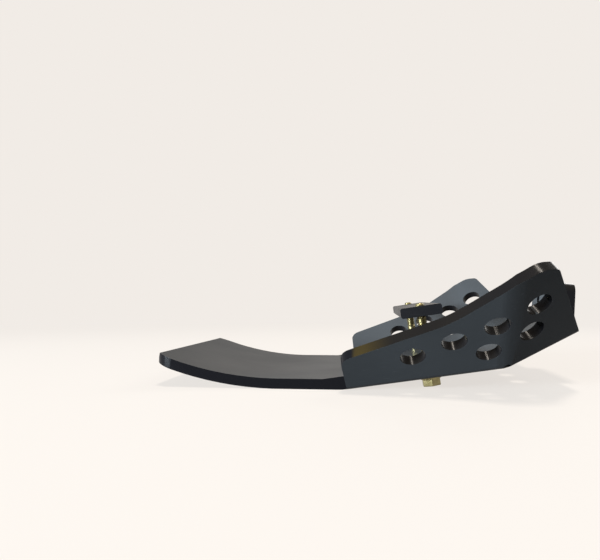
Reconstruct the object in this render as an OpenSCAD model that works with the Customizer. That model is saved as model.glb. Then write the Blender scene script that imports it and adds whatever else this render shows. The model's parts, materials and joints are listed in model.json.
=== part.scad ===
// Motorcycle skid plate: a folded plastic sheet with flared wings, held to the
// frame's two lower rails by a clamp bar and two long bolts.
// Millimetres. +X is forward, +Y is the machine's left, +Z is up.
// The origin is under the middle of the plate, on the level of its flat.

/* [Sheet] */
// Thickness of the plastic sheet
sheet_t = 6; // [5:0.5:8]
// Inside radius of the folds along the wings and under the tongue
fold_in_r = 2; // [1:0.5:4]
// Radius of the soft bend between the flat and the ramp
ramp_bend_r = 100; // [60:10:160]
// Radius of the soft bend across each wing
crease_r = 50; // [30:5:70]
// Radius of the bend between the ramp and the nose
nose_bend_r = 20; // [14:2:32]

/* [Base] */
// Width of the flat, between the outside lines of its folds
base_w = 164; // [150:2:172]
// Length of the flat
flat_l = 39; // [30:1:60]
// Length of the curved tail, measured along the machine
tail_l = 76; // [60:2:90]
// Radius of the curved tail's underside
tail_r = 208; // [180:4:320]
// Radius of the tail's corners
tail_corner_r = 12; // [6:1:20]
// Length of the ramp, measured along the machine
ramp_l = 90; // [84:1:104]
// Rise of the ramp in degrees
ramp_rise = 8.4; // [6:0.2:11]
// Width at the front end of the ramp
ramp_front_w = 163; // [150:1:170]
// Length of the nose, measured along the machine
nose_l = 39.5; // [34:0.5:50]
// Rise of the nose in degrees
nose_rise = 27.6; // [23:0.2:32]
// Width at the front end of the nose
nose_front_w = 158; // [146:2:164]

/* [Tongue] */
// Distance from the nose's shoulders to the bend of the tongue
tongue_root = 8.4; // [7:0.2:12]
// Length of the tongue up its slope
tongue_l = 24; // [22:1:32]
// Rise of the tongue in degrees
tongue_rise = 84; // [70:1:88]
// Width of the tongue where it leaves the nose
tongue_w = 88; // [84:2:110]
// Width of the tongue at its top edge
tongue_top_w = 80; // [70:2:83]
// Radius of the tongue's corners
tongue_corner_r = 7; // [4:1:10]
// Distance between the two front screw holes
front_hole_gap = 50; // [40:2:58]
// Height of the front screw holes above the tongue's fold
front_hole_h = 14.5; // [13:0.5:15]
// Diameter of a front screw hole
front_hole_d = 6.6; // [5:0.1:8.5]
// Diameter of the recess for a front screw's head
front_sink_d = 12; // [10:0.5:13]
// Depth of the recess for a front screw's head
front_sink_depth = 2; // [1:0.5:3]

/* [Wings] */
// Fold of the wings out of the ramp's plane in degrees
wing_fold = 41.9; // [36:0.5:48]
// Height of a wing's rear end up its slope
wing_rear_h = 27.4; // [23:0.2:32]
// Lean of a wing's rear edge in degrees
wing_rear_lean = 0.5; // [0:0.5:10]
// Radius of a wing's rear top corner
wing_rear_r = 7.5; // [3:0.5:10]
// Slope of the rear part of a wing's top edge in degrees
rim_slope = 17.1; // [13:0.5:21]
// Length of the steeper front part of the top edge, along the fold
rim_front_l = 32.4; // [26:0.4:38]
// Slope of the front part of a wing's top edge in degrees
rim_front_slope = 34.5; // [30:0.5:40]
// Radius of the sweep between the two slopes
rim_sweep_r = 60; // [40:5:90]
// How far the crease's top lies in front of its foot, along the fold
crease_ahead = 1.4; // [-2:0.2:6]
// Distance from the crease to the tip's corner, along the nose's fold
tip_reach = 36.4; // [32:0.4:42]
// Height of the tip's corner up the slope
tip_h = 68; // [62:1:74]
// Length of the tip's edge in front of the crease
tip_flat_l = 15; // [10:1:19]
// Drop of the tip's edge down to its front corner
tip_drop = 5; // [3:0.5:9]
// Radius of the tip's top corner
tip_top_r = 12; // [4:1:14]
// Radius of the tip's front corner
tip_front_r = 5; // [3:1:9]

/* [Lightening holes] */
// Diameter of the holes in the wings
wing_hole_d = 14; // [10:0.5:16]
// Distance between neighbouring holes
hole_pitch = 23.9; // [21:0.5:26]
// Distance of the row's front hole behind the crease's foot, along the fold
row_end = 6.8; // [5.2:0.2:9]
// Height of the row's front hole up the wing's slope
row_end_h = 38.8; // [36:0.4:42]
// Slope of the row of holes in degrees
row_slope = 19.6; // [16:0.4:24]
// Distance from the last hole of the row down to the hole below it
low_hole_drop = 21; // [19:0.5:22]
// Distance of the hole below the row behind the row's last one
low_hole_back = 4.2; // [0:0.2:7]
// Distance between the two holes in front of the crease
nose_hole_pitch = 20.5; // [19:0.5:24]
// Distance of the upper nose hole in front of the crease
nose_hole_along = 23.7; // [21:0.3:26]
// Height of the upper nose hole
nose_hole_h = 43.1; // [40:0.5:48]
// Slope of the pair of holes in front of the crease in degrees
nose_row_slope = 72.4; // [66:0.8:84]
// Diameter of the drill at the corner where the folds meet
relief_d = 5; // [4:0.5:7]
// Diameter of the oil drain opening in the ramp
drain_d = 30; // [22:1:34]
// Distance of the oil drain opening in front of the flat
drain_along = 19; // [18:1:22]
// Diameter of the mud drain holes in the nose
mud_hole_d = 14; // [10:1:17]
// Distance between the outer mud drain holes
mud_gap = 72; // [50:2:90]

/* [Clamp] */
// Distance between the two clamp bolts
bolt_gap = 136; // [124:2:140]
// Distance of the clamp bolts in front of the flat, along the ramp
bolt_along = 49; // [46:0.5:54]
// Diameter of a clamp bolt's shank
bolt_d = 6; // [5:0.1:8]
// Clearance of the bolt in its holes in the sheet, on the diameter
bolt_hole_play = 0.6; // [0.3:0.05:1.2]
// Clearance of the bolt in the bar's tapped hole, on the diameter
thread_play = 0.1; // [0.05:0.05:0.2]
// Width across the flats of a bolt head
head_af = 10; // [9:0.5:13]
// Height of a bolt head
head_h = 4; // [3.5:0.1:5]
// Diameter of a washer
washer_d = 12; // [12:0.5:14]
// Thickness of a washer
washer_t = 1.6; // [1:0.1:2]
// Height of the rail that the bar holds down
rail_h = 29.5; // [25:0.5:34]
// Thickness of the clamp bar
bar_t = 6; // [5:0.5:8]
// Width of the clamp bar
bar_w = 24; // [20:1:28]
// Length of the clamp bar beyond the bolts, at each end
bar_over = 9; // [8:0.5:12]
// Bevel on the clamp bar's edges
bar_bevel = 0.8; // [0.3:0.1:1.5]
// Length of thread that stands above the bar
thread_over = 1.5; // [0.5:0.5:4]

/* [Hidden] */
$fn = 96;
// How far a cutter runs past what it cuts
past = 2;
// Larger than the plate in every direction
reach = 420;
// Share of a corner's turn at which its arc crosses the sides, in place of touching them
crossing = 0.14;
// Angle in degrees at which the tail's arc crosses the flat, in place of touching it
tail_crossing = 1.2;
// Diameter of a bolt head's flat end, as a share of its width across the flats
head_face = 0.95;
// Angle in degrees between a bolt head's flat end and its chamfer
head_chamfer = 30;

function unit(v) = v / norm(v);

// Key points of the underside, with x counted from the rear end of the ramp
fold_r = sheet_t + fold_in_r;
tail_turn = asin(tail_l / tail_r);
tail_rear_x = -flat_l - tail_l;
ramp_end_z = ramp_l * tan(ramp_rise);
nose_end_z = ramp_end_z + nose_l * tan(nose_rise);
tongue_start = [ramp_l + nose_l + tongue_root * cos(nose_rise), 0, nose_end_z + tongue_root * sin(nose_rise)];
tongue_end_x = tongue_start.x + tongue_l * cos(tongue_rise);
through = sheet_t + 2 * past;
middle_x = (tongue_end_x + tail_rear_x) / 2;

wing_start = [0, base_w / 2, 0];
nose_start = [ramp_l, ramp_front_w / 2, ramp_end_z];
nose_end = [ramp_l + nose_l, nose_front_w / 2, nose_end_z];

// Directions of the base's panels: forward, and square to the sheet towards its inside
ramp_dir = [cos(ramp_rise), 0, sin(ramp_rise)];
ramp_in = [-sin(ramp_rise), 0, cos(ramp_rise)];
nose_dir = [cos(nose_rise), 0, sin(nose_rise)];
nose_in = [-sin(nose_rise), 0, cos(nose_rise)];
tongue_dir = [cos(tongue_rise), 0, sin(tongue_rise)];
tongue_in = [-sin(tongue_rise), 0, cos(tongue_rise)];

// Directions of the wing behind the crease: along its fold, up its slope, inwards
wing_dir = unit(nose_start - wing_start);
wing_out = cross(ramp_in, wing_dir);
wing_up = wing_out * cos(wing_fold) + ramp_in * sin(wing_fold);
wing_in = cross(wing_dir, wing_up);
wing_l = norm(nose_start - wing_start);

// Top edge of the wing behind the crease, in the wing's own plane
rear_top = [-wing_rear_h * tan(wing_rear_lean), wing_rear_h];
knee_x = wing_l + crease_ahead - rim_front_l;
knee = [knee_x, wing_rear_h + (knee_x - rear_top.x) * tan(rim_slope)];
crease = knee + [rim_front_l, rim_front_l * tan(rim_front_slope)];
crease_point = wing_start + wing_dir * crease.x + wing_up * crease.y;

// Directions of the wing in front of the crease
fore_dir = unit(nose_end - nose_start);
fore_in = unit(cross(fore_dir, crease_point - nose_start));
fore_up = cross(fore_in, fore_dir);
fore_l = norm(nose_end - nose_start);
fore_crease = [(crease_point - nose_start) * fore_dir, (crease_point - nose_start) * fore_up];

bar_level = sheet_t + rail_h;

// Places children drawn in a plane: along is their x, up their y, inwards their z
module on_plane(origin, along, up, inwards) {
    multmatrix([
        [along.x, up.x, inwards.x, origin.x],
        [along.y, up.y, inwards.y, origin.y],
        [along.z, up.z, inwards.z, origin.z],
        [0, 0, 0, 1]
    ]) children();
}

module on_ramp() on_plane([0, 0, 0], ramp_dir, [0, 1, 0], ramp_in) children();

module on_nose() on_plane([ramp_l, 0, ramp_end_z], nose_dir, [0, 1, 0], nose_in) children();

module on_tongue() on_plane(tongue_start, tongue_dir, [0, 1, 0], tongue_in) children();

module on_wing() on_plane(wing_start, wing_dir, wing_up, wing_in) children();

module on_fore() on_plane(nose_start, fore_dir, fore_up, fore_in) children();

module both_sides() {
    children();
    mirror([0, 1, 0]) children();
}

// What lies between a corner and the arc that rounds it, drawn out past the corner.
// The arc stands out of both sides by a hair, so that it crosses them.
module corner_waste(corner, toward_a, toward_b, r) {
    a = unit(toward_a - corner);
    b = unit(toward_b - corner);
    half = acos(a * b) / 2;
    middle = unit(a + b);
    inset = r * cos(crossing * (90 - half));
    centre = corner + middle * inset / sin(half);
    difference() {
        polygon([
            centre,
            centre + (corner + a * inset / tan(half) - centre) * 1.25,
            corner - middle * r,
            centre + (corner + b * inset / tan(half) - centre) * 1.25
        ]);
        translate(centre) circle(r);
    }
}

// Rounds the fold from one point to another between two panels, at a depth in the sheet
module fold_waste(from, to, in_a, in_b, r, depth = 0) {
    along = unit(to - from);
    inwards = unit(in_a + in_b);
    half_turn = acos(in_a * in_b) / 2;
    on_plane(from + inwards * depth / cos(half_turn) - along * past, cross(inwards, along), inwards, along)
        linear_extrude(norm(to - from) + 2 * past)
            corner_waste([0, 0], [cos(half_turn), sin(half_turn)], [-cos(half_turn), sin(half_turn)], r);
}

// Everything on the inner side of the plane that its children's frame lies in
module inner_side(depth) translate([-reach, -reach, depth]) cube([2 * reach, 2 * reach, reach]);

// The space above the tail and the flat
module above_flat(depth) {
    rotate([90, 0, 0]) translate([0, 0, -reach / 2]) linear_extrude(reach) intersection() {
        union() {
            translate([-flat_l, tail_r * cos(tail_crossing)]) circle(tail_r - depth, $fn = 360);
            translate([-flat_l, -past]) square([reach, reach]);
        }
        translate([-reach, depth]) square([2 * reach, reach]);
    }
}

// The space that the folded sheet wraps, at a depth in the sheet
module tub(depth) intersection() {
    above_flat(depth);
    on_ramp() inner_side(depth);
    on_nose() inner_side(depth);
    on_tongue() inner_side(depth);
    on_wing() inner_side(depth);
    on_fore() inner_side(depth);
    mirror([0, 1, 0]) on_wing() inner_side(depth);
    mirror([0, 1, 0]) on_fore() inner_side(depth);
}

module fold_rounding(r, depth) both_sides() {
    fold_waste(wing_start, nose_start, ramp_in, wing_in, r, depth);
    fold_waste(nose_start, nose_end, nose_in, fore_in, r, depth);
}

// The soft bend across each wing, whose radii have one centre on both faces of the sheet
module crease_bend(depth) both_sides()
    fold_waste(nose_start, crease_point, wing_in, fore_in, crease_r - depth, depth);

// The bends across the base, whose radii have one centre on both faces of the sheet
module cross_bends(depth) {
    w = [0, base_w / 2, 0];
    ramp_end = [ramp_l, 0, ramp_end_z];
    fold_waste(-w, w, [0, 0, 1], ramp_in, ramp_bend_r - depth, depth);
    fold_waste(ramp_end - w, ramp_end + w, ramp_in, nose_in, nose_bend_r - depth, depth);
    fold_waste(tongue_start - w, tongue_start + w, nose_in, tongue_in, fold_r - depth, depth);
}

module tail_cut() {
    rear = -flat_l - tail_l;
    w = base_w / 2;
    translate([-flat_l, -reach / 2, tail_r]) rotate([0, tail_turn, 0]) translate([-reach, 0, -reach])
        cube([reach, reach, reach]);
    translate([0, 0, -past]) linear_extrude(reach) for (side = [-1, 1])
        corner_waste([rear, side * w], [0, side * w], [rear, 0], tail_corner_r);
}

// What is cut off a wing behind its rear edge, clear of the base
module wing_rear_cut() intersection() {
    on_wing() translate([0, 0, -past]) linear_extrude(reach / 4) {
        polygon([
            [0, 0], rear_top + unit(rear_top) * reach, [-reach, reach], [-reach, -reach / 4], [0, -reach / 4]
        ]);
        corner_waste(rear_top, [0, 0], knee, wing_rear_r);
    }
    translate([-reach, base_w / 2, -reach / 2]) cube([2 * reach, reach, reach]);
}

// What is cut off a wing above its top edge
module rim_cut() {
    rear_out = rear_top - unit(knee - rear_top) * reach / 8;
    front_out = crease + unit(crease - knee) * reach / 8;
    on_wing() translate([0, 0, -past]) linear_extrude(sheet_t + 2 * past) difference() {
        polygon([rear_out, knee, front_out, [front_out.x, reach], [rear_out.x, reach]]);
        corner_waste(knee, rear_top, crease, rim_sweep_r);
    }
}

// What is cut off a wing's front, ahead of the front edge and above the tip
module tip_cut() {
    tip = [fore_crease.x + tip_flat_l, tip_h];
    brow = [tip_reach, tip_h - tip_drop];
    foot = [fore_l, 0];
    on_fore() translate([0, 0, -past]) linear_extrude(sheet_t + 2 * past) {
        polygon([
            tip + (fore_crease - tip) * 3, tip, brow, foot, foot + (foot - brow) * 0.1,
            [reach, 0], [reach, reach], [tip.x - reach / 8, reach]
        ]);
        corner_waste(tip, fore_crease, brow, tip_top_r);
        corner_waste(brow, foot, tip, tip_front_r);
    }
}

module nose_cut() {
    shoulder = nose_l / cos(nose_rise);
    a = tongue_w / 2;
    b = tongue_top_w / 2;
    lean = (a - b) / tongue_l;
    on_nose() translate([0, 0, -2 * past]) linear_extrude(4 * sheet_t) for (side = [-1, 1])
        translate([shoulder, side < 0 ? -reach : a]) square([reach, reach - a]);
    both_sides() intersection() {
        on_nose() translate([shoulder, a, 0]) cube([reach, reach, reach]);
        on_fore() inner_side(sheet_t + past / 2);
    }
    on_tongue() translate([0, 0, -2 * past]) linear_extrude(sheet_t + 3 * past) {
        translate([tongue_l, -reach]) square([reach, 2 * reach]);
        for (side = [-1, 1]) {
            polygon([
                [-past, side * (a + lean * past)], [2 * tongue_l, side * (a - 2 * lean * tongue_l)],
                [2 * tongue_l, side * (a + past)], [-past, side * (a + past)]
            ]);
            corner_waste([tongue_l, side * b], [0, side * a], [tongue_l, 0], tongue_corner_r);
        }
    }
}

module wing_holes() {
    row_dir = [cos(row_slope), sin(row_slope)];
    row_last = [wing_l - row_end, row_end_h];
    on_wing() translate([0, 0, -past]) {
        for (i = [0:2]) translate(row_last - row_dir * hole_pitch * i) cylinder(h = through, d = wing_hole_d);
        translate(row_last - [low_hole_back, low_hole_drop]) cylinder(h = through, d = wing_hole_d);
    }
    pair_dir = [cos(nose_row_slope), sin(nose_row_slope)];
    on_fore() translate([0, 0, -past]) for (i = [0, 1])
        translate([nose_hole_along, nose_hole_h] - pair_dir * nose_hole_pitch * i)
            cylinder(h = through, d = wing_hole_d);
}

module base_holes() {
    on_ramp() translate([0, 0, -past]) {
        translate([drain_along, 0]) cylinder(h = through, d = drain_d);
        for (side = [-1, 1]) translate([bolt_along, side * bolt_gap / 2])
            cylinder(h = through, d = bolt_d + bolt_hole_play);
    }
    on_nose() translate([nose_l / 2, 0, -past]) for (side = [-1, 0, 1])
        translate([0, side * mud_gap / 2]) cylinder(h = through, d = mud_hole_d);
    on_tongue() for (side = [-1, 1]) translate([front_hole_h, side * front_hole_gap / 2, -past]) {
        cylinder(h = through, d = front_hole_d);
        cylinder(h = front_sink_depth + past, d = front_sink_d);
    }
}

module corner_relief() {
    inwards = unit(ramp_in + nose_in + wing_in + fore_in);
    along = unit(cross([0, 1, 0], inwards));
    both_sides() on_plane(nose_start - inwards * past, along, cross(inwards, along), inwards)
        cylinder(h = 2 * sheet_t, d = relief_d);
}

module skid_plate() color([0.12, 0.13, 0.15]) translate([-middle_x, 0, 0]) difference() {
    difference() {
        difference() {
            difference() {
                intersection() {
                    tub(0);
                    translate([tail_rear_x - past, -reach / 2, -past]) cube([reach * 1.5, reach, reach / 2]);
                }
                crease_bend(0);
            }
            fold_rounding(fold_r, 0);
        }
        cross_bends(0);
    }
    difference() {
        difference() {
            difference() {
                tub(sheet_t);
                crease_bend(sheet_t);
            }
            fold_rounding(fold_in_r, sheet_t);
        }
        cross_bends(sheet_t);
    }
    tail_cut();
    both_sides() {
        wing_rear_cut();
        rim_cut();
        tip_cut();
        wing_holes();
    }
    nose_cut();
    base_holes();
    corner_relief();
}

// Places children on a clamp bolt's axis, at the ramp's underside
module at_bolt(side) translate([-middle_x, 0, 0]) on_ramp() translate([bolt_along, side * bolt_gap / 2]) children();

module clamp_bar() color([0.06, 0.06, 0.07]) {
    half_l = bolt_gap / 2 + bar_over;
    b = bar_bevel;
    translate([-middle_x, 0, 0]) on_ramp() translate([bolt_along, 0, bar_level]) difference() {
        rotate([90, 0, 0]) translate([0, 0, -half_l]) linear_extrude(2 * half_l) polygon([
            [-bar_w / 2 + b, 0], [bar_w / 2 - b, 0], [bar_w / 2, b], [bar_w / 2, bar_t - b],
            [bar_w / 2 - b, bar_t], [-bar_w / 2 + b, bar_t], [-bar_w / 2, bar_t - b], [-bar_w / 2, b]
        ]);
        for (side = [-1, 1]) translate([0, side * bolt_gap / 2, -past])
            cylinder(h = bar_t + 2 * past, d = bolt_d + thread_play);
    }
}

module bolt(side) color([0.72, 0.66, 0.42]) at_bolt(side) {
    face_d = head_af * head_face;
    translate([0, 0, -washer_t - head_h]) intersection() {
        rotate(30) cylinder(h = head_h, d = head_af / cos(30), $fn = 6);
        cylinder(h = head_h, d1 = face_d, d2 = face_d + 2 * head_h / tan(head_chamfer));
    }
    translate([0, 0, -washer_t - head_h / 2])
        cylinder(h = head_h / 2 + washer_t + bar_level + bar_t + thread_over, d = bolt_d);
}

module washer(side) color([0.74, 0.69, 0.48]) at_bolt(side) translate([0, 0, -washer_t]) difference() {
    cylinder(h = washer_t, d = washer_d);
    translate([0, 0, -past]) cylinder(h = washer_t + 2 * past, d = bolt_d + bolt_hole_play);
}

module bolt_left() bolt(1);
module bolt_right() bolt(-1);
module washer_left() washer(1);
module washer_right() washer(-1);

skid_plate();
clamp_bar();
bolt_left();
bolt_right();
washer_left();
washer_right();
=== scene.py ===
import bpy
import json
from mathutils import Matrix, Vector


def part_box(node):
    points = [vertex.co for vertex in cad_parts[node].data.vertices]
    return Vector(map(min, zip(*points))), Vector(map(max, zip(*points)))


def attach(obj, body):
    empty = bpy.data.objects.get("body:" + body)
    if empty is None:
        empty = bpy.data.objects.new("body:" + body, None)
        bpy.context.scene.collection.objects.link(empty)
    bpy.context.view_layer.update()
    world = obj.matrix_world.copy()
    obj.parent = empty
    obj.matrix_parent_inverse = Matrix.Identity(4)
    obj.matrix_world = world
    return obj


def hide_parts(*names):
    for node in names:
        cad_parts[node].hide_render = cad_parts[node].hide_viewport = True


bl_info = {
    "name": "Skid Plate",
    "version": (1, 0, 0),
    "blender": (4, 5, 0),
    "location": "View3D > Sidebar > Skid Plate",
    "description": "Finishes a folded plastic skid plate, its clamp bar and its bolts",
    "category": "Add Mesh",
}

import json
import math

import bmesh
import bpy
from bpy.props import FloatProperty, FloatVectorProperty, IntProperty, PointerProperty
from mathutils import Matrix, Vector
from mathutils.bvhtree import BVHTree

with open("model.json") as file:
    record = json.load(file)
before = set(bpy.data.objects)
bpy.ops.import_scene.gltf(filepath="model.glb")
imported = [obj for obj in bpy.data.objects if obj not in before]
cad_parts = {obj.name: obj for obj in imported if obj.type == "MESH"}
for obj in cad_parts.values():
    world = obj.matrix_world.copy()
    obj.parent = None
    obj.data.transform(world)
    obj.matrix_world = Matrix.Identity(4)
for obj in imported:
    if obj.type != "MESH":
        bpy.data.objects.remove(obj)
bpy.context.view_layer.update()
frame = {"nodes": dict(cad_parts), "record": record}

MOUNTS = {mount["name"]: mount for mount in frame["record"]["mounts"]}
BODY = "root"
SIDES = ("left", "right")
HEAD_CORNERS = 6

MERGE_DISTANCE = 1e-6
FLAT_ANGLE = math.radians(0.4)
SHARP_ANGLE = math.radians(28.0)

PHOTO_WIDTH = 600
SENSOR_WIDTH = 36.0
CLIP_START = 0.01

# Places of the sockets of a Mix node that mixes colours
MIX_FACTOR, MIX_FIRST, MIX_SECOND, MIX_RESULT = 0, 6, 7, 2


def colour(name, description, default):
    """A colour property"""
    return FloatVectorProperty(
        name=name, description=description, default=default, subtype="COLOR", min=0.0, max=1.0)


def length(name, description, default):
    """A length property, in metres"""
    return FloatProperty(
        name=name, description=description, default=default, min=0.0, unit="LENGTH", precision=5)


def station(name, description, default):
    """A place on the plate's X axis, in metres"""
    return FloatProperty(name=name, description=description, default=default, unit="LENGTH", precision=5)


def share(name, description, default):
    """A property between 0 and 1"""
    return FloatProperty(
        name=name, description=description, default=default, min=0.0, max=1.0, subtype="FACTOR")


def angle(name, description, degrees):
    """An angle property, with its default in degrees"""
    return FloatProperty(
        name=name, description=description, default=math.radians(degrees), subtype="ANGLE")


def step_count(name, description, default):
    """A number of steps in one full turn"""
    return IntProperty(name=name, description=description, default=default, min=8)


class SheetSettings(bpy.types.PropertyGroup):
    """Sizes and finish of the folded plastic sheet"""
    thickness: length("Thickness", "Thickness of the sheet", 0.006)
    edge_break: length("Edge break", "Width by which the cut edges are broken", 0.00055)
    face_colour: colour("Face colour", "Colour of the sheet's faces", (0.043, 0.046, 0.049))
    tone_swing: share("Tone swing", "Share by which the faces' colour wanders up and down", 0.14)
    face_roughness: share("Face roughness", "Roughness of the sheet's faces", 0.38)
    face_gloss: share("Face gloss", "Strength of the faces' reflection", 0.02)
    worn_colour: colour("Worn colour", "Colour that scuffs bring up", (0.078, 0.083, 0.088))
    scuff_amount: share("Scuff amount", "Strength of the scuffs", 0.55)
    scuff_roughness: share("Scuff roughness", "Roughness that a scuff adds", 0.25)
    cut_colour: colour("Cut colour", "Colour of the routed edges and bores", (0.004, 0.004, 0.005))
    cut_roughness: share("Cut roughness", "Roughness of the routed edges and bores", 0.20)
    cut_gloss: share("Cut gloss", "Strength of the cut edges' reflection", 0.06)
    # Painted top light: this olive colour and the places below paint a sheen, as from light above, on the
    # routed edges that look up
    top_sheen_colour: colour("Dust colour", "Olive dust on the routed edges that look up", (0.031, 0.021, 0.006))
    top_sheen_start: station("Dust start", "Place along the plate behind which no dust lies", -0.0090)
    top_sheen_rise: length("Dust rise", "Length over which the dust builds up", 0.0020)
    top_sheen_from: station("Dust from", "Place along the plate from which the dust thins", -0.006)
    top_sheen_to: station("Dust to", "Place along the plate where the dust is thinnest", 0.015)
    thin_top_sheen: share("Thin dust", "Share of the dust that lies on the front of the wings", 0.12)


class BarSettings(bpy.types.PropertyGroup):
    """Finish of the clamp bar"""
    edge_break: length("Edge break", "Width by which the bar's corners are broken", 0.0003)
    paint_colour: colour("Paint colour", "Colour of the satin paint", (0.008, 0.008, 0.009))
    steel_colour: colour("Steel colour", "Steel where the paint has thinned", (0.16, 0.15, 0.14))
    scuff_amount: share("Scuff amount", "Strength of the scuffs", 0.2)
    roughness: share("Roughness", "Roughness of the paint", 0.38)
    gloss: share("Gloss", "Strength of the paint's reflection", 0.06)


class FastenerSettings(bpy.types.PropertyGroup):
    """Sizes and finish of the clamp bolts and their washers"""
    head_af: length("Across flats", "Width across the flats of a bolt's head", 0.010)
    head_height: length("Head height", "Height of a bolt's head", 0.004)
    head_rounding: share("Head rounding", "Rounding of the head's rim, as a share of its height", 0.11)
    shank_radius: length("Shank radius", "Radius of the shank and of the thread's crests", 0.003)
    shank_steps: step_count("Steps round the shank", "Steps in one turn of the shank", 32)
    root_radius: length("Thread root radius", "Radius at the bottom of the thread", 0.00245)
    point_share: share("Point", "Radius of the shank's end, as a share of the thread's root radius", 0.82)
    thread_pitch: length("Thread pitch", "Distance between the thread's turns", 0.001)
    thread_length: length("Thread length", "Length of the threaded end", 0.018)
    foot_share: share("Thread foot", "Half the ridge's width at its foot, as a share of the pitch", 0.44)
    crest_share: share("Thread crest", "Half the ridge's width at its crest, as a share of the pitch", 0.07)
    thread_steps: step_count("Steps in a turn", "Steps in one turn of the thread", 24)
    washer_radius: length("Washer radius", "Outer radius of a washer", 0.006)
    washer_hole: length("Washer hole radius", "Radius of a washer's hole", 0.0033)
    washer_height: length("Washer thickness", "Thickness of a washer", 0.0016)
    washer_rounding: share("Washer rounding", "Rounding of the rim, as a share of half its height", 0.35)
    washer_steps: step_count("Steps round a washer", "Steps in one turn of a washer", 64)
    zinc_colour: colour("Zinc colour", "Pale side of the yellow zinc", (0.31, 0.27, 0.14))
    dull_colour: colour("Dull zinc colour", "Dull olive side of the yellow zinc", (0.11, 0.09, 0.04))
    roughness: share("Roughness", "Roughness of the plating", 0.34)


class StageSettings(bpy.types.PropertyGroup):
    """Camera, floor and even light"""
    camera_place: FloatVectorProperty(
        name="Camera place", description="Where the camera stands", default=(0.0040, -0.458, 0.0517),
        unit="LENGTH")
    camera_pitch: angle("Camera pitch", "How far the camera looks up", 1.76)
    camera_yaw: angle("Camera yaw", "How far the camera turns to its left", 6.58)
    focal_pixels: FloatProperty(
        name="Focal length", description="Focal length in the picture's pixels", default=650.0)
    floor_colour: colour("Floor colour", "Colour of the floor and the backdrop", (0.98, 0.93, 0.88))
    bounce_colour: colour("Bounce colour", "Colour that the floor throws back", (0.06, 0.06, 0.06))
    floor_roughness: share("Floor roughness", "Roughness of the paper", 0.9)
    floor_gloss: share("Floor gloss", "Strength of the paper's reflection", 0.1)
    floor_glow: share("Floor glow", "Share of the floor's look that comes from its own even light", 0.82)
    glow_level: share("Glow level", "Strength of the floor's own even light", 0.90)
    shadow_reach: length("Shadow reach", "Distance up to which the floor shows shadows fully", 0.35)
    glow_reach: length("Glow reach", "Distance past which the floor shows its even light alone", 1.10)
    floor_depth: length("Floor depth", "Distance from the plate to the backdrop", 2.4)
    floor_width: length("Floor width", "Width of the floor", 8.0)
    backdrop_height: length("Backdrop height", "Height of the backdrop", 3.2)
    sweep_share: share("Sweep", "Size of the sweep's curve, as a share of the backdrop's height", 0.3)
    world_colour: colour("World colour", "Colour of the even light on the plate", (0.96, 0.98, 1.0))
    world_light: FloatProperty(
        name="World light", description="Strength of the even light on the plate", default=0.25, min=0.0)


def new_mesh_object(name, bm, materials):
    """A new object that holds the bmesh, with its place in its mesh"""
    mesh = bpy.data.meshes.new(name)
    bm.to_mesh(mesh)
    bm.free()
    for material in materials:
        mesh.materials.append(material)
    mesh.polygons.foreach_set("use_smooth", [True] * len(mesh.polygons))
    mesh.set_sharp_from_angle(angle=SHARP_ANGLE)
    piece = bpy.data.objects.new(name, mesh)
    bpy.context.scene.collection.objects.link(piece)
    return piece


def break_edges(piece, width, segments):
    """Rounds a piece's sharp edges and keeps its flat faces flat to the eye"""
    bevel = piece.modifiers.new("edge_break", "BEVEL")
    bevel.width = width
    bevel.segments = segments
    bevel.limit_method = "ANGLE"
    bevel.angle_limit = SHARP_ANGLE
    bevel.harden_normals = True


def merged_copy(cad_node):
    """A bmesh of a CAD node, with its loose triangles merged into one skin"""
    bm = bmesh.new()
    bm.from_mesh(frame["nodes"][cad_node].data)
    bmesh.ops.remove_doubles(bm, verts=bm.verts, dist=MERGE_DISTANCE)
    return bm


def join_flats(bm):
    """Joins the triangles of each flat face"""
    bmesh.ops.dissolve_limit(
        bm, angle_limit=FLAT_ANGLE, verts=bm.verts, edges=bm.edges, delimit={"MATERIAL"})


def chain(bm, points, closed=False):
    """Vertices at the (radius, level) points of a section, and the edges that join them in a row"""
    row = [bm.verts.new((radius, 0.0, level)) for radius, level in points]
    following = row[1:] + row[:1] if closed else row[1:]
    return row, [bm.edges.new(pair) for pair in zip(row, following)]


def spin_full(bm, outline, steps):
    """Spins an outline one full turn round Z and closes the seam"""
    bmesh.ops.spin(
        bm, geom=outline, cent=(0, 0, 0), axis=(0, 0, 1), angle=math.tau, steps=steps, use_merge=True)


def seat(bm, place):
    """Closes a spun shape's seams and poles, turns its faces outwards and moves it to its place"""
    bmesh.ops.remove_doubles(bm, verts=bm.verts, dist=MERGE_DISTANCE)
    bmesh.ops.recalc_face_normals(bm, faces=bm.faces)
    bmesh.ops.transform(bm, matrix=place, verts=bm.verts)


def fill_inputs(tree, filled, inputs):
    """Links each input that is given a socket, and sets each that is given a value"""
    for key, value in inputs.items():
        if isinstance(value, bpy.types.NodeSocket):
            tree.links.new(value, filled.inputs[key])
        else:
            filled.inputs[key].default_value = value


def node(tree, kind, inputs=None, **settings):
    """A new node with its settings, and its inputs linked or set"""
    made = tree.nodes.new(kind)
    for key, value in settings.items():
        setattr(made, key, value)
    fill_inputs(tree, made, inputs or {})
    return made


def arithmetic(tree, operation, *values):
    """What a Math node makes of its sockets and numbers"""
    return node(tree, "ShaderNodeMath", dict(enumerate(values)), operation=operation).outputs[0]


def ramp(tree, value, low=0.0, high=1.0, start=0.0, end=1.0, course="LINEAR"):
    """Goes from start to end while the value goes from low to high"""
    made = node(tree, "ShaderNodeMapRange", {
        "Value": value, "From Min": low, "From Max": high, "To Min": start, "To Max": end},
        interpolation_type=course)
    return made.outputs["Result"]


def opaque(rgb):
    """A colour with its alpha, or the socket that brings one"""
    return rgb if isinstance(rgb, bpy.types.NodeSocket) else (*rgb, 1.0)


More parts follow.
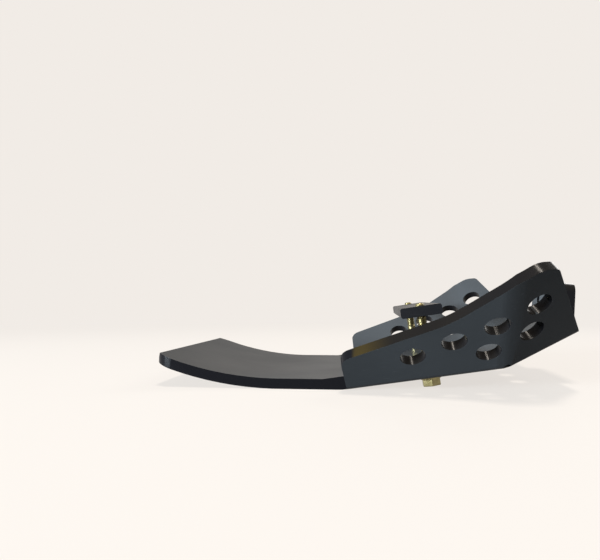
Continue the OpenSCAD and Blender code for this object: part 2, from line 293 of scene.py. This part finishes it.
def blend_colours(tree, factor, first, second):
    """The first colour where the factor is 0 and the second where it is 1"""
    made = node(tree, "ShaderNodeMix", {
        MIX_FACTOR: factor, MIX_FIRST: opaque(first), MIX_SECOND: opaque(second)}, data_type="RGBA")
    return made.outputs[MIX_RESULT]


def blend_shaders(tree, factor, first, second):
    """The first shader where the factor is 0 and the second where it is 1"""
    return node(tree, "ShaderNodeMixShader", {0: factor, 1: first, 2: second}).outputs[0]


def shader_group(name, inputs, outputs):
    """A shader node group with named sockets, and its input and output nodes"""
    group = bpy.data.node_groups.new(name, "ShaderNodeTree")
    for label, kind, default in inputs:
        socket = group.interface.new_socket(label, in_out="INPUT", socket_type=kind)
        socket.default_value = default
    for label, kind in outputs:
        group.interface.new_socket(label, in_out="OUTPUT", socket_type=kind)
    return group, group.nodes.new("NodeGroupInput"), group.nodes.new("NodeGroupOutput")


def grain_group(name):
    """The fine grain of plastic, paint or plating, and the slow drift of its tone"""
    tone_low, tone_high = 0.3, 0.7
    group, given, result = shader_group(
        name,
        [("Vector", "NodeSocketVector", (0, 0, 0)), ("Grain Scale", "NodeSocketFloat", 900.0),
         ("Tone Scale", "NodeSocketFloat", 22.0)],
        [("Height", "NodeSocketFloat"), ("Tone", "NodeSocketFloat")])
    fine = node(group, "ShaderNodeTexNoise", {
        "Vector": given.outputs["Vector"], "Scale": given.outputs["Grain Scale"], "Detail": 3.0,
        "Roughness": 0.55})
    slow = node(group, "ShaderNodeTexNoise", {
        "Vector": given.outputs["Vector"], "Scale": given.outputs["Tone Scale"], "Detail": 4.0,
        "Roughness": 0.5})
    fill_inputs(group, result, {
        "Height": fine.outputs["Fac"], "Tone": ramp(group, slow.outputs["Fac"], tone_low, tone_high)})
    return group


def scuff_group(name):
    """Fine drawn-out scuffs in patches, in two directions that run mostly forward and back"""
    # Each direction's turn in degrees, and its lines' frequency along and across
    directions = ((8.0, 14.0, 620.0), (-23.0, 22.0, 900.0))
    line_low, line_high = 0.66, 0.78
    patch_low, patch_high = 0.42, 0.66
    group, given, result = shader_group(
        name,
        [("Vector", "NodeSocketVector", (0, 0, 0)), ("Amount", "NodeSocketFloat", 0.5)],
        [("Mask", "NodeSocketFloat")])
    layers = []
    for degrees, along, across in directions:
        turn = math.radians(degrees)
        drawn_out = node(group, "ShaderNodeMapping", {
            "Vector": given.outputs["Vector"], "Rotation": (0.0, turn, turn),
            "Scale": (along, across, across)})
        lines = node(group, "ShaderNodeTexNoise", {
            "Vector": drawn_out.outputs["Vector"], "Scale": 1.0, "Detail": 2.0, "Roughness": 0.6})
        layers.append(ramp(group, lines.outputs["Fac"], line_low, line_high))
    patches = node(group, "ShaderNodeTexNoise", {
        "Vector": given.outputs["Vector"], "Scale": 38.0, "Detail": 2.0})
    kept = arithmetic(
        group, "MULTIPLY", arithmetic(group, "MAXIMUM", *layers),
        ramp(group, patches.outputs["Fac"], patch_low, patch_high))
    fill_inputs(group, result, {"Mask": arithmetic(group, "MULTIPLY", kept, given.outputs["Amount"])})
    return group


GROUP_MAKERS = {"surface_grain": grain_group, "fine_scuffs": scuff_group}


def use_group(tree, name, inputs):
    """A shared group, made at its first use and placed in a material's tree"""
    shared = bpy.data.node_groups.get(name) or GROUP_MAKERS[name](name)
    return node(tree, "ShaderNodeGroup", inputs, node_tree=shared)


def new_material(name):
    """A material with its tree, shader and object coordinates"""
    material = bpy.data.materials.new(name)
    material.use_nodes = True
    tree = material.node_tree
    shader = tree.nodes["Principled BSDF"]
    coords = tree.nodes.new("ShaderNodeTexCoord").outputs["Object"]
    return material, tree, shader, coords


def bumped(tree, height, strength, distance):
    """A normal that is bumped by a height"""
    made = node(tree, "ShaderNodeBump", {"Height": height, "Strength": strength, "Distance": distance})
    return made.outputs["Normal"]


def moulded_plastic(settings):
    """Satin black sheet plastic with faint grain and scuffs"""
    swing = 0.05
    material, tree, shader, coords = new_material("moulded_plastic")
    grain = use_group(tree, "surface_grain", {"Vector": coords, "Grain Scale": 1500.0, "Tone Scale": 14.0})
    scuffs = use_group(tree, "fine_scuffs", {"Vector": coords, "Amount": settings.scuff_amount})
    darker = [part * (1 - settings.tone_swing) for part in settings.face_colour]
    lighter = [part * (1 + settings.tone_swing) for part in settings.face_colour]
    toned = blend_colours(tree, grain.outputs["Tone"], darker, lighter)
    plain = ramp(
        tree, grain.outputs["Tone"], start=settings.face_roughness - swing,
        end=settings.face_roughness + swing)
    fill_inputs(tree, shader, {
        "Base Color": blend_colours(tree, scuffs.outputs["Mask"], toned, settings.worn_colour),
        "Roughness": arithmetic(
            tree, "MULTIPLY_ADD", scuffs.outputs["Mask"], settings.scuff_roughness, plain),
        "Specular IOR Level": settings.face_gloss,
        "Normal": bumped(tree, grain.outputs["Height"], strength=0.12, distance=0.0001),
    })
    return material


def top_sheen_mask(tree, tone, coords, settings):
    """Painted top light: an olive sheen in patches where a face looks up, standing in for light from above,
    strongest just ahead of the wings' rear corners
    """
    no_sheen_slope, full_sheen_slope = 0.1, 0.55
    thinnest_patch = 0.4
    normal = tree.nodes.new("ShaderNodeTexCoord").outputs["Normal"]
    facing = node(tree, "ShaderNodeSeparateXYZ", {"Vector": normal}).outputs["Z"]
    along = node(tree, "ShaderNodeSeparateXYZ", {"Vector": coords}).outputs["X"]
    sloped = ramp(tree, facing, no_sheen_slope, full_sheen_slope)
    patchy_sheen = arithmetic(tree, "MULTIPLY", sloped, ramp(tree, tone, start=thinnest_patch))
    begun = ramp(tree, along, settings.top_sheen_start, settings.top_sheen_start + settings.top_sheen_rise)
    thinning = ramp(
        tree, along, settings.top_sheen_from, settings.top_sheen_to, start=1.0, end=settings.thin_top_sheen,
        course="SMOOTHSTEP")
    return arithmetic(tree, "MULTIPLY", patchy_sheen, arithmetic(tree, "MULTIPLY", begun, thinning))


def routed_plastic(settings):
    """The sheet's cut edges and bores, with the cutter's fine marks and a painted olive top light on the
    edges that look up
    """
    mark_depth = 0.12
    smoother, rougher = 0.06, 0.08
    material, tree, shader, coords = new_material("routed_plastic")
    grain = use_group(tree, "surface_grain", {"Vector": coords, "Grain Scale": 700.0, "Tone Scale": 17.0})
    wave = node(tree, "ShaderNodeTexWave", {
        "Vector": coords, "Scale": 900.0, "Distortion": 5.0, "Detail": 2.0}, bands_direction="DIAGONAL")
    marks = wave.outputs["Fac"]
    height = arithmetic(tree, "MULTIPLY_ADD", marks, mark_depth, grain.outputs["Height"])
    # Painted top light: an olive sheen on the cut edges that look up
    top_sheen = top_sheen_mask(tree, grain.outputs["Tone"], coords, settings)
    fill_inputs(tree, shader, {
        "Base Color": blend_colours(tree, top_sheen, settings.cut_colour, settings.top_sheen_colour),
        "Roughness": ramp(
            tree, marks, start=settings.cut_roughness - smoother, end=settings.cut_roughness + rougher),
        "Specular IOR Level": settings.cut_gloss,
        "Normal": bumped(tree, height, strength=0.2, distance=0.0001),
    })
    return material


def satin_paint(settings):
    """Satin black paint on steel, thin in a few small places"""
    swing = 0.06
    material, tree, shader, coords = new_material("satin_paint")
    grain = use_group(tree, "surface_grain", {"Vector": coords, "Grain Scale": 420.0, "Tone Scale": 30.0})
    scuffs = use_group(tree, "fine_scuffs", {"Vector": coords, "Amount": settings.scuff_amount})
    fill_inputs(tree, shader, {
        "Base Color": blend_colours(
            tree, scuffs.outputs["Mask"], settings.paint_colour, settings.steel_colour),
        "Roughness": ramp(
            tree, grain.outputs["Tone"], start=settings.roughness - swing, end=settings.roughness + swing),
        "Specular IOR Level": settings.gloss,
        "Normal": bumped(tree, grain.outputs["Height"], strength=0.1, distance=0.0002),
    })
    return material


def yellow_zinc(settings):
    """Pale yellow zinc plating, clouded with dull olive that is rougher"""
    rougher, smoother = 0.1, 0.06
    material, tree, shader, coords = new_material("yellow_zinc")
    grain = use_group(tree, "surface_grain", {"Vector": coords, "Grain Scale": 1400.0, "Tone Scale": 190.0})
    tone = grain.outputs["Tone"]
    fill_inputs(tree, shader, {
        "Base Color": blend_colours(tree, tone, settings.dull_colour, settings.zinc_colour),
        "Roughness": ramp(
            tree, tone, start=settings.roughness + rougher, end=settings.roughness - smoother),
        "Metallic": 1.0,
        "Normal": bumped(tree, grain.outputs["Height"], strength=0.15, distance=0.0001),
    })
    return material


def shared_zinc(settings):
    """The one zinc material that the bolts and the washers share"""
    return bpy.data.materials.get("yellow_zinc") or yellow_zinc(settings)


def mark_cut_faces(bm, thickness):
    """Gives the second material to each face that has no other face one thickness behind it"""
    below_skin = thickness * 0.01
    tolerance = thickness * 0.12
    tree = BVHTree.FromBMesh(bm)
    for face in bm.faces:
        face.normal_update()
        start = face.calc_center_median() - face.normal * below_skin
        behind = tree.ray_cast(start, -face.normal)[3]
        if behind is None or abs(behind + below_skin - thickness) > tolerance:
            face.material_index = 1


class SKIDPLATE_OT_sheet(bpy.types.Operator):
    """Dress the folded sheet with broken edges and plastic"""
    bl_idname = "skidplate.sheet"
    bl_label = "Folded sheet"

    def execute(self, context):
        settings = context.scene.skidplate_sheet
        bm = merged_copy("skid_plate")
        mark_cut_faces(bm, settings.thickness)
        join_flats(bm)
        sheet = new_mesh_object("folded_sheet", bm, [moulded_plastic(settings), routed_plastic(settings)])
        break_edges(sheet, settings.edge_break, segments=3)
        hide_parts("skid_plate")
        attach(sheet, BODY)
        return {"FINISHED"}


class SKIDPLATE_OT_bar(bpy.types.Operator):
    """Dress the clamp bar with broken corners and satin paint"""
    bl_idname = "skidplate.bar"
    bl_label = "Clamp bar"

    def execute(self, context):
        settings = context.scene.skidplate_bar
        bm = merged_copy("clamp_bar")
        join_flats(bm)
        bar = new_mesh_object("painted_bar", bm, [satin_paint(settings)])
        break_edges(bar, settings.edge_break, segments=2)
        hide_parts("clamp_bar")
        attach(bar, BODY)
        return {"FINISHED"}


def bolt_frame(side):
    """A bolt's own axes, with z up the clamp's axis and the origin in the middle of its washer"""
    low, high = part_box("washer_" + side)
    across = Vector((0.0, 1.0, 0.0))
    up = Vector(MOUNTS["rail_seat"]["axis"])
    turn = Matrix((across.cross(up), across, up)).transposed().to_4x4()
    return Matrix.Translation((low + high) / 2) @ turn, up


def shank_end(side, place, up):
    """How far a bolt reaches above the middle of its washer"""
    points = (vertex.co for vertex in frame["nodes"]["bolt_" + side].data.vertices)
    return max((point - place.translation).dot(up) for point in points)


def hex_head(bm, settings):
    """A hexagon head with a rounded lower rim, under the washer"""
    corner_radius = settings.head_af / 2 / math.cos(math.pi / HEAD_CORNERS)
    circle = bmesh.ops.create_circle(bm, cap_ends=True, segments=HEAD_CORNERS, radius=corner_radius)
    face = circle["verts"][0].link_faces[0]
    prism = bmesh.ops.extrude_face_region(bm, geom=[face])
    outer = [item for item in prism["geom"] if isinstance(item, bmesh.types.BMVert)]
    bmesh.ops.translate(bm, verts=outer, vec=(0.0, 0.0, -settings.head_height))
    rim = [item for item in prism["geom"] if isinstance(item, bmesh.types.BMEdge)]
    bmesh.ops.bevel(
        bm, geom=rim, offset=settings.head_height * settings.head_rounding, affect="EDGES", segments=3,
        profile=0.5, material=-1)
    bmesh.ops.translate(bm, verts=bm.verts, vec=(0.0, 0.0, -settings.washer_height / 2))


def shank(bm, settings, reach):
    """A plain shank that starts inside the head, and the thread's core with its pointed-off end"""
    inside_head = -(settings.washer_height + settings.head_height) / 2
    thread_start = reach - settings.thread_length
    profile, edges = chain(bm, (
        (0.0, inside_head),
        (settings.shank_radius, inside_head),
        (settings.shank_radius, thread_start - settings.thread_pitch),
        (settings.root_radius, thread_start),
        (settings.root_radius, reach - settings.thread_pitch / 2),
        (settings.root_radius * settings.point_share, reach),
        (0.0, reach),
    ))
    spin_full(bm, profile + edges, settings.shank_steps)


def thread(bm, settings, reach):
    """The ridge that winds up the thread's core, with its foot just inside the core"""
    thread_start = reach - settings.thread_length
    inside_core = 0.98
    foot_radius = settings.root_radius * inside_core
    foot = settings.thread_pitch * settings.foot_share
    crest = settings.thread_pitch * settings.crest_share
    section, edges = chain(bm, (
        (foot_radius, thread_start - foot),
        (settings.shank_radius, thread_start - crest),
        (settings.shank_radius, thread_start + crest),
        (foot_radius, thread_start + foot),
    ), closed=True)
    bm.faces.new(section)
    turns = (settings.thread_length - settings.thread_pitch) / settings.thread_pitch
    steps = int(turns * settings.thread_steps)
    wound = bmesh.ops.spin(
        bm, geom=section + edges, cent=(0, 0, 0), axis=(0, 0, 1), steps=steps,
        angle=math.tau * steps / settings.thread_steps,
        dvec=(0.0, 0.0, settings.thread_pitch / settings.thread_steps))
    end = [item for item in wound["geom_last"] if isinstance(item, bmesh.types.BMEdge)]
    bmesh.ops.contextual_create(bm, geom=end)


class SKIDPLATE_OT_bolts(bpy.types.Operator):
    """Make the two long hex bolts with their threads"""
    bl_idname = "skidplate.bolts"
    bl_label = "Clamp bolts"

    def execute(self, context):
        settings = context.scene.skidplate_fastener
        for side in SIDES:
            place, up = bolt_frame(side)
            reach = shank_end(side, place, up)
            bm = bmesh.new()
            hex_head(bm, settings)
            shank(bm, settings, reach)
            thread(bm, settings, reach)
            seat(bm, place)
            bolt = new_mesh_object("hex_bolt_" + side, bm, [shared_zinc(settings)])
            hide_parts("bolt_" + side)
            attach(bolt, BODY)
        return {"FINISHED"}


def washer_ring(bm, settings):
    """A flat ring with a rounded outer rim"""
    half = settings.washer_height / 2
    section, _ = chain(bm, (
        (settings.washer_hole, -half),
        (settings.washer_radius, -half),
        (settings.washer_radius, half),
        (settings.washer_hole, half),
    ), closed=True)
    bmesh.ops.bevel(
        bm, geom=section[1:3], offset=half * settings.washer_rounding, affect="VERTICES", segments=3,
        profile=0.5, material=-1)
    spin_full(bm, bm.verts[:] + bm.edges[:], settings.washer_steps)


class SKIDPLATE_OT_washers(bpy.types.Operator):
    """Make the two washers with their rounded edges"""
    bl_idname = "skidplate.washers"
    bl_label = "Washers"

    def execute(self, context):
        settings = context.scene.skidplate_fastener
        for side in SIDES:
            place, _ = bolt_frame(side)
            bm = bmesh.new()
            washer_ring(bm, settings)
            seat(bm, place)
            washer = new_mesh_object("plain_washer_" + side, bm, [shared_zinc(settings)])
            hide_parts("washer_" + side)
            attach(washer, BODY)
        return {"FINISHED"}


def path_seen(tree):
    """1 where a ray from the eye, a reflection or a clear body meets the surface, and 0 in bounced light"""
    path = node(tree, "ShaderNodeLightPath").outputs
    direct = arithmetic(tree, "MAXIMUM", path["Is Camera Ray"], path["Is Glossy Ray"])
    return arithmetic(tree, "MAXIMUM", direct, path["Is Transmission Ray"])


def stage_paper(settings):
    """Pale matt paper whose own even light keeps it pale to the eye and in reflections"""
    material, tree, shader, coords = new_material("stage_paper")
    fill_inputs(tree, shader, {
        "Base Color": blend_colours(tree, path_seen(tree), settings.bounce_colour, settings.floor_colour),
        "Roughness": settings.floor_roughness,
        "Specular IOR Level": settings.floor_gloss,
    })
    distance = node(tree, "ShaderNodeVectorMath", {0: coords}, operation="LENGTH").outputs["Value"]
    far = ramp(tree, distance, settings.shadow_reach, settings.glow_reach, course="SMOOTHSTEP")
    own = ramp(tree, far, start=settings.floor_glow)
    glow = node(tree, "ShaderNodeEmission", {
        "Color": opaque(settings.floor_colour), "Strength": settings.glow_level})
    seen = arithmetic(tree, "MULTIPLY", path_seen(tree), own)
    fill_inputs(tree, tree.nodes["Material Output"], {
        "Surface": blend_shaders(tree, seen, shader.outputs[0], glow.outputs[0])})
    return material


def add_camera(context, settings):
    """The camera, with its lens worked out for the picture's width"""
    camera = bpy.data.objects.new("camera", bpy.data.cameras.new("camera"))
    camera.location = settings.camera_place
    camera.rotation_euler = (math.pi / 2 + settings.camera_pitch, 0.0, settings.camera_yaw)
    camera.data.sensor_width = SENSOR_WIDTH
    camera.data.lens = settings.focal_pixels / PHOTO_WIDTH * SENSOR_WIDTH
    camera.data.clip_start = CLIP_START
    context.scene.collection.objects.link(camera)
    context.scene.camera = camera


def paper_sweep(settings):
    """A floor that curves up into a backdrop"""
    bm = bmesh.new()
    levels = (
        (-settings.floor_depth, 0.0),
        (settings.floor_depth, 0.0),
        (settings.floor_depth, settings.backdrop_height),
    )
    line = [bm.verts.new((-settings.floor_width / 2, depth, level)) for depth, level in levels]
    for pair in zip(line, line[1:]):
        bm.edges.new(pair)
    bmesh.ops.bevel(
        bm, geom=[line[1]], offset=settings.backdrop_height * settings.sweep_share, affect="VERTICES",
        segments=16, profile=0.5, material=-1)
    swept = bmesh.ops.extrude_edge_only(bm, edges=bm.edges[:])
    far_side = [item for item in swept["geom"] if isinstance(item, bmesh.types.BMVert)]
    bmesh.ops.translate(bm, verts=far_side, vec=(settings.floor_width, 0.0, 0.0))
    bmesh.ops.recalc_face_normals(bm, faces=bm.faces)
    if bm.faces[0].normal.z < 0:
        bmesh.ops.reverse_faces(bm, faces=bm.faces)
    return new_mesh_object("paper_sweep", bm, [stage_paper(settings)])


def studio_world(context, settings):
    """Even light on the plate, with a world that looks as pale as the floor"""
    world = bpy.data.worlds.new("studio")
    context.scene.world = world
    world.use_nodes = True
    tree = world.node_tree
    even = tree.nodes["Background"]
    fill_inputs(tree, even, {"Color": opaque(settings.world_colour), "Strength": settings.world_light})
    pale = node(tree, "ShaderNodeBackground", {
        "Color": opaque(settings.floor_colour), "Strength": settings.glow_level})
    fill_inputs(tree, tree.nodes["World Output"], {
        "Surface": blend_shaders(tree, path_seen(tree), even.outputs[0], pale.outputs[0])})


def area_light(name, place, target, size, power, tint):
    """A rectangular soft light that faces the target"""
    light = bpy.data.lights.new(name, "AREA")
    light.shape = "RECTANGLE"
    light.size, light.size_y = size
    light.energy = power
    light.color = tint
    lamp = bpy.data.objects.new(name, light)
    lamp.location = place
    lamp.rotation_euler = (Vector(target) - Vector(place)).to_track_quat("-Z", "Y").to_euler()
    bpy.context.scene.collection.objects.link(lamp)


class SKIDPLATE_OT_stage(bpy.types.Operator):
    """Set the camera, the pale floor with its backdrop, and the soft light"""
    bl_idname = "skidplate.stage"
    bl_label = "Stage"

    def execute(self, context):
        settings = context.scene.skidplate_stage
        add_camera(context, settings)
        paper_sweep(settings)
        studio_world(context, settings)
        area_light(
            "key", place=(-1.76, -1.32, 0.19), target=(0.0, -0.05, 0.03), size=(1.2, 0.42), power=198.0,
            tint=(0.80, 0.91, 1.0))
        area_light(
            "top", place=(0.1, -0.33, 1.6), target=(0.1, -0.33, 0.0), size=(0.20, 0.5), power=21.0,
            tint=(1.0, 0.92, 0.82))
        area_light(
            "back", place=(0.9, 1.3, 0.9), target=(0.0, 0.0, 0.02), size=(0.9, 0.9), power=14.0,
            tint=(1.0, 0.98, 0.95))
        context.scene.view_settings.view_transform = "Standard"
        return {"FINISHED"}


class SKIDPLATE_PT_panel(bpy.types.Panel):
    """Lists the plate's pieces and the stage"""
    bl_label = "Skid Plate"
    bl_idname = "SKIDPLATE_PT_panel"
    bl_space_type = "VIEW_3D"
    bl_region_type = "UI"
    bl_category = "Skid Plate"

    def draw(self, context):
        for operator in OPERATORS:
            self.layout.operator(operator.bl_idname)


OPERATORS = (
    SKIDPLATE_OT_sheet, SKIDPLATE_OT_bar, SKIDPLATE_OT_bolts, SKIDPLATE_OT_washers, SKIDPLATE_OT_stage)
SETTINGS = {
    "skidplate_sheet": SheetSettings,
    "skidplate_bar": BarSettings,
    "skidplate_fastener": FastenerSettings,
    "skidplate_stage": StageSettings,
}


def register():
    """Registers the classes and gives the scene its settings"""
    for cls in (*SETTINGS.values(), *OPERATORS, SKIDPLATE_PT_panel):
        bpy.utils.register_class(cls)
    for name, group in SETTINGS.items():
        setattr(bpy.types.Scene, name, PointerProperty(type=group))


def unregister():
    """Takes the settings and the classes out again"""
    for name in SETTINGS:
        delattr(bpy.types.Scene, name)
    for cls in reversed((*SETTINGS.values(), *OPERATORS, SKIDPLATE_PT_panel)):
        bpy.utils.unregister_class(cls)


def main():
    """Makes every piece and the stage"""
    register()
    bpy.ops.skidplate.sheet()
    bpy.ops.skidplate.bar()
    bpy.ops.skidplate.bolts()
    bpy.ops.skidplate.washers()
    bpy.ops.skidplate.stage()


if __name__ == "__main__":
    main()
